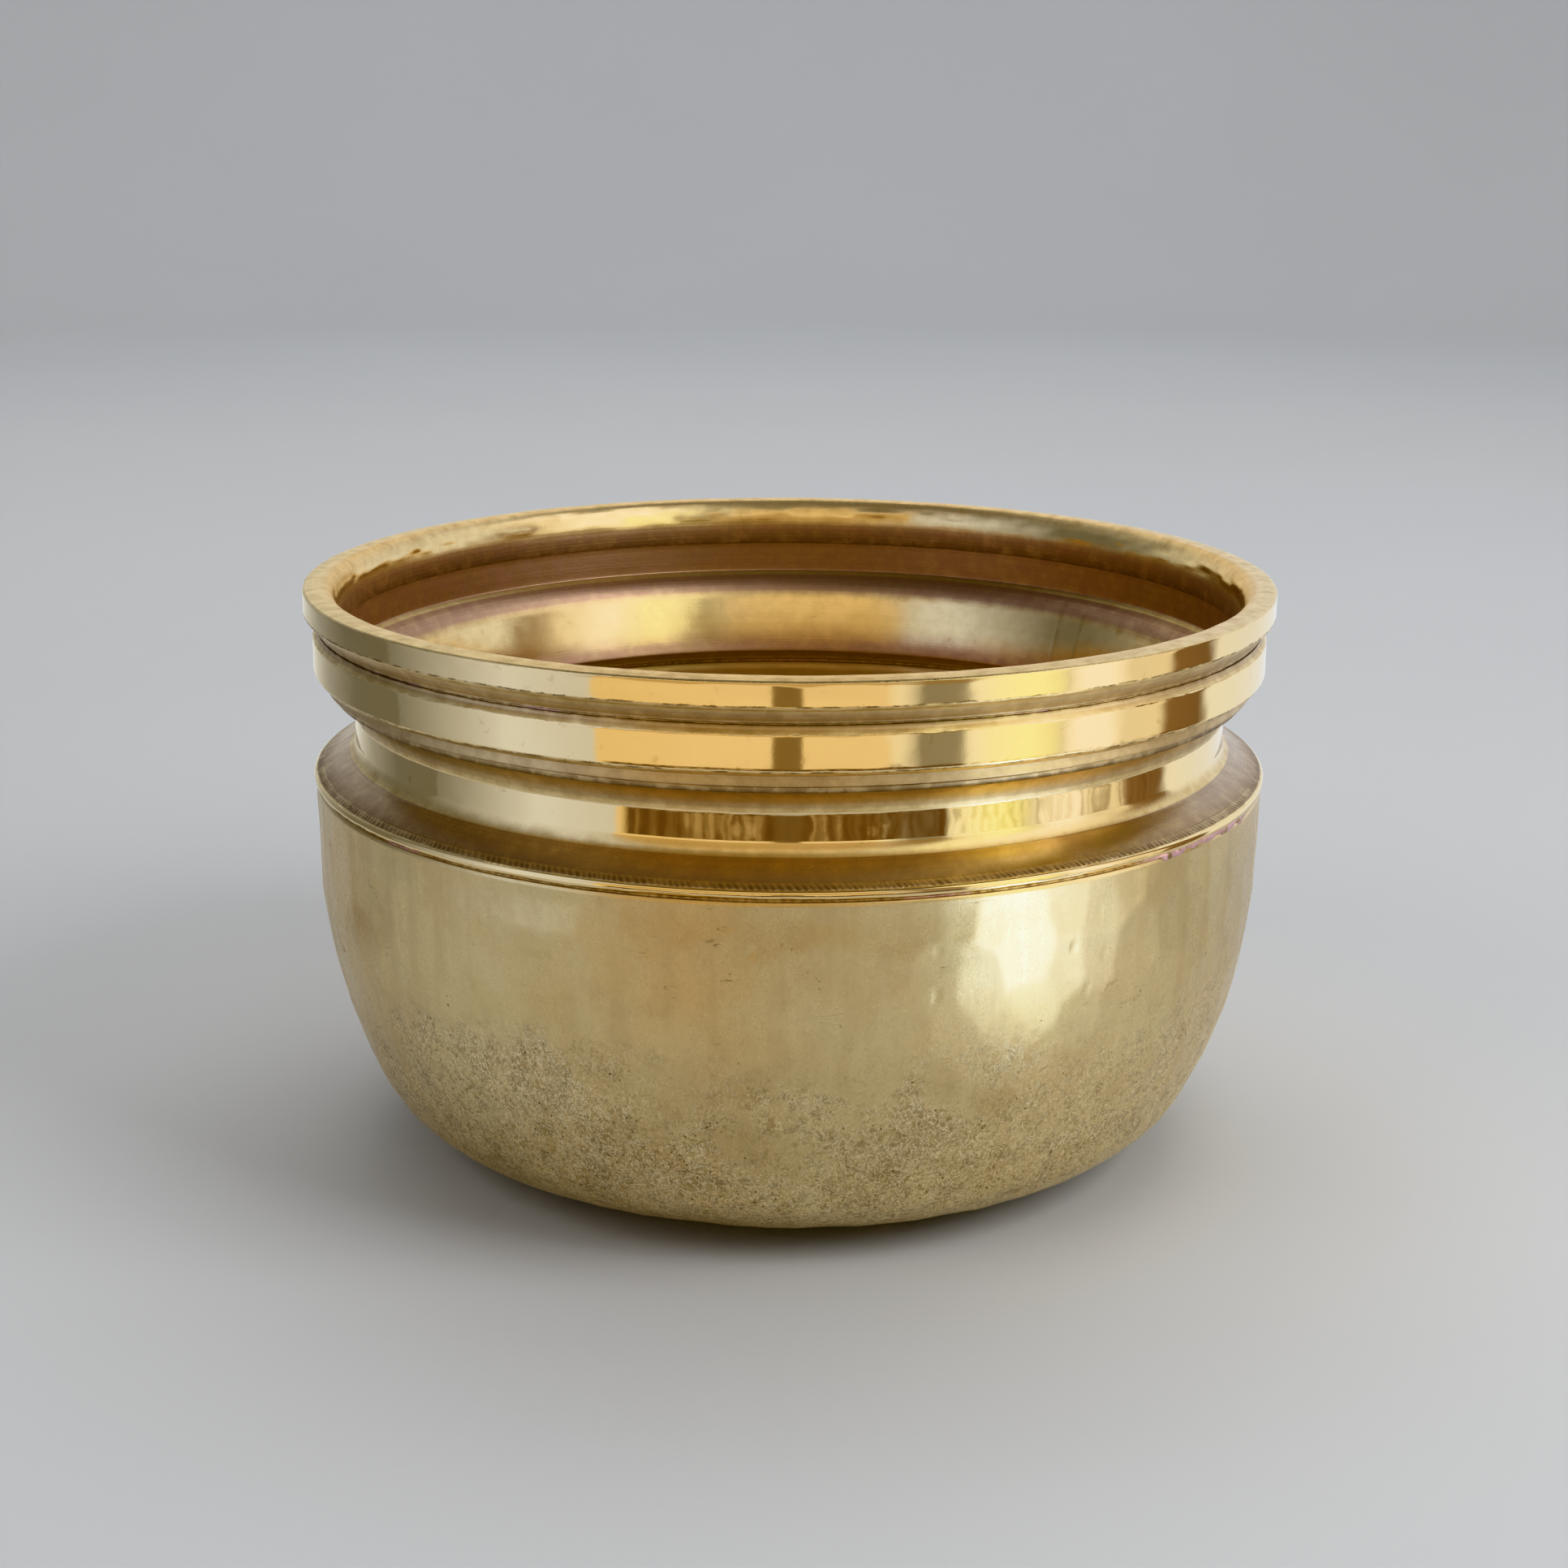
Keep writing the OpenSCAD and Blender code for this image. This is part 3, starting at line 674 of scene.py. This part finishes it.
def make_rim(mat):
    rb, lt = RIM_BOTTOM, LIP_TOP
    bore, crown_in, over = 111.5, 115.4, 7.6
    inner_edge = [(crown_in - (crown_in - bore) * math.cos(a), lt - over * (1 - math.sin(a)), 0.0, 9.0)
                  for a in np.radians(np.linspace(86, 0, 22))]
    corners = [
        (116.9, rb, 0.1), (116.9, rb + 0.4, 0.5, 0.4), (118.9, LIP_LOW, 0.5, 0.5),
        (119.5, LIP_LOW + 0.1, 0.35), (120.0, LIP_LOW + 0.7, 0.5, 0.55),
        (120.0, lt - 0.65, 0.5, 0.35), (119.45, lt - 0.28, 0.7, 0.4),
        (117.7, lt - 0.02, 1.2, 0.5), (crown_in + 0.4, lt, 0.6, 0.5),
        *inner_edge, (bore, rb - 2.2, 0.15, 0.8), (BAND_IN, rb - 2.2, 0.1), (BAND_IN, rb, 0.1),
    ]
    pts = rounded(corners, 0.55)

    def relief(U, R, Z, I):
        sway = 0.06 * ring_noise(U, (Z - rb) / RIM_SPAN, 9, 2, 31)
        fine = 0.014 * ring_noise(U, (Z - rb) / RIM_SPAN, 150, 6, 32)
        fine = fine + 0.022 * ring_noise(U, (Z - rb) / RIM_SPAN, 55, 3, 33)
        bevel = bump_at(Z, lt - 3.6, 3.8) * (R < 116.4)
        dents = 0.20 * ring_noise(U, (lt - Z) / LIP_SPAN, 66, 3, 34)
        dents = dents + 0.12 * ring_noise(U, (lt - Z) / LIP_SPAN, 150, 5, 35)
        crown = 0.05 * ring_noise(U, (lt - Z) / LIP_SPAN, 90, 2, 38) * (Z > lt - 1.2)
        jag = 0.06 * ring_noise(U, Z * 0, 520, 1, 36) + 0.14 * ring_noise(U, Z * 0, 110, 1, 37)
        edge = bump_at(Z, LIP_LOW + 0.5, 1.0) * jag * (R > 119.0)
        return sway + fine + bevel * dents + crown, edge

    def masks(U, R, Z, I):
        inner = (R < 115.8) & ((Z > lt - 8) | (R < 112)) | (R < 113.5)
        outer = 1.0 - inner
        streak = 0.5 + 0.5 * ring_noise(U, (lt - Z) / RIM_SPAN, 24, 5, 39)
        face = smooth((lt - 5.4 - Z) / 2.6) * inner
        groove = smooth((LIP_LOW + 0.2 - Z) / 1.6) * outer
        crown = smooth((Z - (lt - 2.6)) / 1.4) * (R < 119.4)
        tarnish_and_shade = 0.98 * face + 0.42 * groove + 0.12 * streak + 0.12 * crown * inner
        dirt = 0.8 * bump_at(Z, rb, 0.5) * outer + 0.9 * bump_at(Z, rb - 2.2, 0.45) * inner
        shine = bump_at(Z, lt - 4.2, 2.8) * inner * 0.65
        return {"outer": outer, "tarnish_and_shade": np.clip(tarnish_and_shade, 0, 1), "dirt": np.clip(dirt, 0, 1),
                "shine": shine, "margin": 0 * U}

    rim = lathe("rim_ring_brass", pts, TURNED_SEGS, relief=relief, masks=masks)
    dress(rim, mat, "rim_ring")


def make_braze(mat):
    def bead(name, node, pts, seed, pink_at=None, drop=0.0):
        r1 = pts[:, 0].max()

        def zone(U):
            if pink_at is None:
                return 0 * U
            off = np.abs((U - pink_at + 0.5) % 1.0 - 0.5)
            return smooth((0.040 - off) / 0.014)

        def relief(U, R, Z, I):
            lump = 0.07 * ring_noise(U, Z * 0, 420, 1, seed) + 0.08 * ring_noise(U, Z * 0, 110, 1, seed + 5)
            squeeze = zone(U) * (0.5 + 0.5 * ring_noise(U, Z * 0, 260, 1, seed + 9))
            outer = R > r1 - 0.6
            low = outer & (Z < pts[:, 1].mean())
            return np.where(outer, lump + 0.42 * squeeze, 0.0), np.where(low, -drop * squeeze, 0.0)

        def masks(U, R, Z, I):
            patch = smooth((ring_noise(U, Z * 0, 34, 1, seed + 12) - 0.35) / 0.3)
            return {"pink": np.clip(zone(U) + 0.6 * patch, 0, 1)}

        obj = lathe(name, pts, BEAD_SEGS, relief=relief, masks=masks)
        return dress(obj, mat, node)

    seam = rounded([(115.8, CUP_TOP, 0.05), (118.15, CUP_TOP, 0.15), (118.45, CUP_TOP + 0.3, 0.2),
                    (118.15, COLLAR_BOTTOM, 0.15), (115.8, COLLAR_BOTTOM, 0.05)], 0.5)
    bead("shoulder_braze_bead", "shoulder_braze", seam, 41, pink_at=0.9, drop=1.0)
    seam = rounded([(BAND_IN, COLLAR_TOP, 0.05), (116.6, COLLAR_TOP, 0.12), (116.6, RIM_BOTTOM, 0.12),
                    (BAND_IN, RIM_BOTTOM, 0.05)], 0.5)
    bead("rim_braze_bead", "rim_braze", seam, 42)
    zs = RIM_BOTTOM - 2.2
    seam = rounded([(112.9, zs - 0.02, 0.1), (113.35, zs - 0.55, 0.1), (113.6, zs - 0.55, 0.05),
                    (113.6, zs + 0.3, 0.05), (112.9, zs + 0.3, 0.05)][::-1], 0.5)
    bead("rim_braze_fillet", None, seam, 43, pink_at=0.33)


# Polished lands of the turned pieces: lower and upper level, and how softly each ends
land_levels = [
    (LIP_LOW + 0.95, LIP_TOP - 0.35, 0.12, 0.4),
    (BAND_LOW + 1.0, BAND_HIGH - 0.15, 0.12, 0.12),
    (SHOULDER_TOP - 0.6, NECK_HIGH + 0.7, 3.0, 0.5),
    (COLLAR_BOTTOM - 0.1, EDGE_TOP + 0.2, 0.12, 0.12),
]
make_cup(satin_brass())
turned = turned_brass("turned_brass", land_levels)
make_collar(turned)
make_chatter(turned)
make_rim(turned_brass("rim_brass", land_levels))
make_braze(braze_metal())

# ---------------------------------------------------------------- studio, light and camera


def studio_material(name, colour, rough):
    n = Nodes(name)
    tint = n.mix(n.noise(3.0, 4, 0.5), tuple(c * 0.94 for c in colour), colour)
    n.bsdf.inputs["Specular IOR Level"].default_value = 0.0
    return n.finish(tint, rough, metallic=0.0)


def make_studio():
    prof = [(3.0, 3.0)]
    prof += [(2.2 + 0.8 * math.cos(a), 0.8 - 0.8 * math.sin(a)) for a in np.radians(np.linspace(0, 90, 16))]
    prof += [(0.02, 0.0)]
    pts = np.array(prof)[::-1] * 1000
    obj = lathe("studio_floor", pts[::-1], 96, loop=False, pole_last=True)
    obj.data.flip_normals()
    obj.data.materials.append(studio_material("studio_pale", (0.575, 0.58, 0.59), 0.9))


def area(name, pos, target, size, power, colour, size_y=None):
    data = bpy.data.lights.new(name, "AREA")
    data.shape = "RECTANGLE"
    data.size = size
    data.size_y = size_y or size
    data.energy = power
    data.color = colour
    obj = bpy.data.objects.new(name, data)
    obj.location = pos
    obj.rotation_euler = (Vector(target) - Vector(pos)).to_track_quat("-Z", "Y").to_euler()
    bpy.context.scene.collection.objects.link(obj)
    return obj


make_studio()


def glow_material(name, build):
    """Emission where build(nodes) says: it returns colour, strength and cover (0 lets rays through)."""
    n = Nodes(name)
    colour, strength, cover = build(n)
    n.tree.nodes.remove(n.bsdf)
    glow = n.add("ShaderNodeEmission")
    n.plug(glow.inputs[0], colour)
    n.plug(glow.inputs[1], strength)
    mix = n.add("ShaderNodeMixShader")
    n.plug(mix.inputs[0], cover)
    n.tree.links.new(n.add("ShaderNodeBsdfTransparent").outputs[0], mix.inputs[1])
    n.tree.links.new(glow.outputs[0], mix.inputs[2])
    n.tree.links.new(mix.outputs[0], n.out.inputs[0])
    return n.mat


def reflector(name, verts, faces, mat):
    """A glowing card that only reflections see."""
    mesh = bpy.data.meshes.new(name)
    mesh.from_pydata(verts, [], faces)
    mesh.materials.append(mat)
    obj = bpy.data.objects.new(name, mesh)
    bpy.context.scene.collection.objects.link(obj)
    obj.visible_camera = False
    obj.visible_shadow = False
    obj.visible_diffuse = False


RING_R, RING_H = 0.42, 0.66
# Glowing card round the bowl, which only reflections see. Its steps of tone imitate the room that the
# polished bands mirror: degrees to the right of the camera, colour, brightness
RING_STOPS = [
    (-180, (1.0, 0.86, 0.62), 1.0), (-150, (0.98, 1.0, 0.94), 0.86), (-125, (0.95, 1.0, 1.05), 0.40),
    (-108, (0.95, 1.0, 1.05), 0.22), (-88, (0.93, 1.0, 1.12), 0.30), (-72, (0.92, 1.0, 1.20), 0.58),
    (-58, (0.90, 1.0, 1.26), 0.90), (-38, (0.92, 1.0, 1.18), 0.80),
    (-36.5, (1.0, 0.82, 0.52), 0.94), (-18, (1.0, 0.82, 0.55), 1.0),
    (18.5, (1.0, 0.84, 0.60), 1.0), (20.5, (1.0, 0.97, 0.86), 1.10), (23.5, (1.0, 0.97, 0.88), 0.85),
    (25, (0.95, 0.92, 0.86), 0.36), (33.5, (0.95, 0.92, 0.86), 0.38), (36, (1.0, 1.0, 0.92), 1.35),
    (48, (1.0, 1.06, 0.52), 2.2), (56, (1.0, 0.98, 0.86), 0.85), (60, (1.0, 1.0, 0.96), 2.0),
    (67, (1.0, 1.0, 0.98), 1.9), (71, (1.0, 0.95, 0.84), 0.95), (82.5, (1.0, 0.93, 0.80), 1.0),
    (85, (0.85, 0.58, 0.42), 0.34), (98, (0.85, 0.58, 0.42), 0.28), (101, (0.95, 1.0, 1.06), 1.05),
    (150, (0.95, 1.0, 1.08), 0.92),
]
# How the room's low clutter darkens the card below this height, between these azimuths
CLUTTER_TOP = 0.033
CLUTTER_SPAN = (-37, 36)
# The glowing floor cards (painted reflections) fade out over this distance, and the window's bright ones more
# sharply
PATCH_FADE = 0.078
WINDOW_STRENGTH, WINDOW_POWER = 3, 2.2
CEILING_Z = 0.85
CEILING_FADE = (0.62, 0.42)


def ring_look(n):
    around = n.add("ShaderNodeTexGradient", gradient_type="RADIAL")
    wobble = n.math("MULTIPLY", n.math("SUBTRACT", n.noise(9, 2), 0.5), 0.012)
    n.plug(around.inputs[0], n.pos)
    ramp = n.add("ShaderNodeValToRGB")
    stops = ramp.color_ramp.elements
    # the gradient's 0 is at -X and it runs through -Y, so the camera side is at 0.25
    rows = sorted(((0.25 + az / 360) % 1.0, colour, power) for az, colour, power in RING_STOPS)
    while len(stops) < len(rows):
        stops.new(0.5)
    for stop, (at, colour, power) in zip(stops, rows):
        stop.position = at
        stop.color = (*(c * power / 4 for c in colour), 1)
    n.plug(ramp.inputs[0], n.math("ADD", around.outputs[1], wobble))
    place = n.add("ShaderNodeSeparateXYZ")
    n.plug(place.inputs[0], n.pos)
    height = place.outputs[2]
    # low down, a dark and streaky stretch in front of the bowl, and a fainter one beside it
    turn = [0.25 + az / 360 for az in CLUTTER_SPAN]
    front = n.math("MULTIPLY", n.ramp(around.outputs[1], turn[0], turn[0] + 0.006),
                   n.ramp(around.outputs[1], turn[1], turn[1] - 0.006))
    side = n.math("MULTIPLY", n.ramp(around.outputs[1], turn[1] - 0.006, turn[1]),
                  n.ramp(around.outputs[1], turn[1] + 0.18, turn[1] + 0.17))
    below = n.ramp(height, CLUTTER_TOP + 0.005, CLUTTER_TOP - 0.002)
    rails = n.ramp(n.noise(130, 3, 0.6, vector=n.stretch((1, 1, 0.25))), 0.47, 0.56)
    lumps = n.ramp(n.noise(45, 3, 0.6), 0.42, 0.58)
    streaks = n.mixf(lumps, n.mixf(rails, 0.55, 0.98), n.mixf(rails, 0.90, 1.0))
    gloom = n.math("MAXIMUM", n.math("MULTIPLY", front, streaks),
                   n.math("MULTIPLY", side, n.math("MULTIPLY", rails, 0.55)))
    colour = n.mix(n.math("MULTIPLY", below, gloom), ramp.outputs[0], (0.035, 0.019, 0.010))
    # from the middle of the front, in turns
    swayed = n.math("ADD", around.outputs[1], n.math("MULTIPLY", wobble, 0.3))
    off_centre = n.math("ABSOLUTE", n.math("SUBTRACT", swayed, 0.25))
    bar = n.math("MULTIPLY", n.ramp(off_centre, 0.0095, 0.0070), n.ramp(height, 0.085, 0.078))
    colour = n.mix(n.math("MULTIPLY", bar, 0.9), colour, (0.05, 0.034, 0.022))
    # further up, a brown haze that the foot of the roll picks up
    haze = n.math("MULTIPLY", n.ramp(height, 0.080, 0.100), n.ramp(height, 0.45, 0.26))
    haze = n.math("MULTIPLY", haze, n.ramp(off_centre, 0.125, 0.085))
    colour = n.mix(n.math("MULTIPLY", haze, 0.6), colour, (0.10, 0.065, 0.03))
    return colour, 4.0, n.ramp(height, RING_H, RING_H * 0.72)


def make_reflectors():
    segs = 96
    ang = [2 * math.pi * k / segs for k in range(segs)]
    verts = [(RING_R * math.cos(a), RING_R * math.sin(a), z) for z in (0.0, RING_H) for a in ang]
    faces = [(k, (k + 1) % segs, segs + (k + 1) % segs, segs + k) for k in range(segs)]
    reflector("bounce_ring", verts, faces, glow_material("bounce_ring", ring_look))

    def patch_look(colour, strength):
        def look(n):
            away = n.add("ShaderNodeVectorMath", operation="LENGTH")
            n.plug(away.inputs[0], n.pos)
            power = WINDOW_POWER if strength > WINDOW_STRENGTH else 1.0
            cover = n.math("POWER", n.ramp(away.outputs["Value"], PATCH_FADE, 0.0), power)
            return (*colour, 1), strength, cover
        return look

    # glowing cards lying on the floor, seen only in reflections in the side of the cup: painted reflections
    # of lighter and darker patches of floor. Azimuth, distance, width, colour, brightness. The first three
    # stand in for the window's light.
    patches = (
        (44, 0.322, 0.9, (0.78, 1.0, 1.55), 15.0), (57, 0.31, 0.8, (0.82, 1.0, 1.35), 4.5),
        (43, 0.24, 1.0, (0.85, 1.0, 1.10), 1.8), (-22, 0.33, 1.3, (1.0, 0.90, 0.80), 0.68),
        (-18, 0.24, 1.1, (1.0, 0.90, 0.80), 0.60), (-97, 0.25, 0.7, (1.0, 0.80, 0.62), 0.24),
        (82, 0.285, 0.6, (1.0, 0.86, 0.76), 0.25), (114, 0.28, 0.9, (0.85, 0.95, 1.1), 0.60),
    )
    q = 0.08
    for k, (az, dist, wide, colour, strength) in enumerate(patches):
        name = f"floor_glow_card_{k}"
        reflector(name, [(-q, -q, 0), (q, -q, 0), (q, q, 0), (-q, q, 0)], [(0, 1, 2, 3)],
                  glow_material(name, patch_look(colour, strength)))
        obj = bpy.data.objects[name]
        a = math.radians(az)
        obj.location = (dist * math.sin(a), -dist * math.cos(a), 0.003 + 0.001 * k)
        obj.scale = (wide, wide, 1)

    def ceiling_look(n):
        away = n.add("ShaderNodeVectorMath", operation="LENGTH")
        n.plug(away.inputs[0], n.pos)
        return (0.9, 0.8, 0.7, 1), 0.10, n.ramp(away.outputs["Value"], *CEILING_FADE)

    # a dimly glowing card over the bowl, seen only in reflections: a painted reflection of a dark ceiling
    q = 0.65
    reflector("dark_ceiling_card", [(-q, -q, 0), (q, -q, 0), (q, q, 0), (-q, q, 0)], [(0, 1, 2, 3)],
              glow_material("dark_ceiling_card", ceiling_look))
    bpy.data.objects["dark_ceiling_card"].location = (0, 0.05, CEILING_Z)


make_reflectors()
area("key_window", (1.1, -0.6, 0.95), (0, 0, 0.08), 0.8, 14, (0.96, 0.98, 1.0), 0.9)
area("fill_left", (-1.3, -0.9, 1.1), (0, 0, 0.08), 1.2, 8, (1.0, 0.97, 0.93)).visible_glossy = False
area("top_soft", (0.1, 0.5, 1.9), (0, 0, 0), 1.6, 11, (1.0, 0.99, 0.97))
area("backdrop_wash", (0, 1.5, 2.3), (0, 2.8, 0), 2.4, 26, (0.97, 0.99, 1.0))

world = bpy.data.worlds.new("studio_air")
world.use_nodes = True
world.node_tree.nodes["Background"].inputs[0].default_value = (0.80, 0.82, 0.85, 1)
world.node_tree.nodes["Background"].inputs[1].default_value = 0.35
bpy.context.scene.world = world
bpy.context.scene.view_settings.view_transform = "Khronos PBR Neutral"

# Camera where the photographer stood: 0.647 m from the bowl's axis, looking down at 15.3 degrees.
CAM_DISTANCE, CAM_ABOVE_LIP = 0.6466, 0.1219
FOCAL_PX, FRAME_PX = 3234.5, 1932
TILT, PAN, ROLL = math.radians(15.284), math.radians(-0.104), math.radians(0.285)
fwd = Vector((math.sin(PAN) * math.cos(TILT), math.cos(PAN) * math.cos(TILT), -math.sin(TILT)))
right = Vector((math.cos(PAN), -math.sin(PAN), 0))
up = right.cross(fwd)
right, up = right * math.cos(ROLL) + up * math.sin(ROLL), up * math.cos(ROLL) - right * math.sin(ROLL)
cam_data = bpy.data.cameras.new("camera")
cam_data.sensor_width = 36
cam_data.lens = FOCAL_PX / FRAME_PX * cam_data.sensor_width
cam_data.clip_start = 0.01
cam = bpy.data.objects.new("camera", cam_data)
cam.matrix_world = Matrix.Translation((0, -CAM_DISTANCE, LIP_TOP * MM + CAM_ABOVE_LIP)) @ Matrix(
    (right, up, -fwd)).transposed().to_4x4()
bpy.context.scene.collection.objects.link(cam)
bpy.context.scene.camera = cam
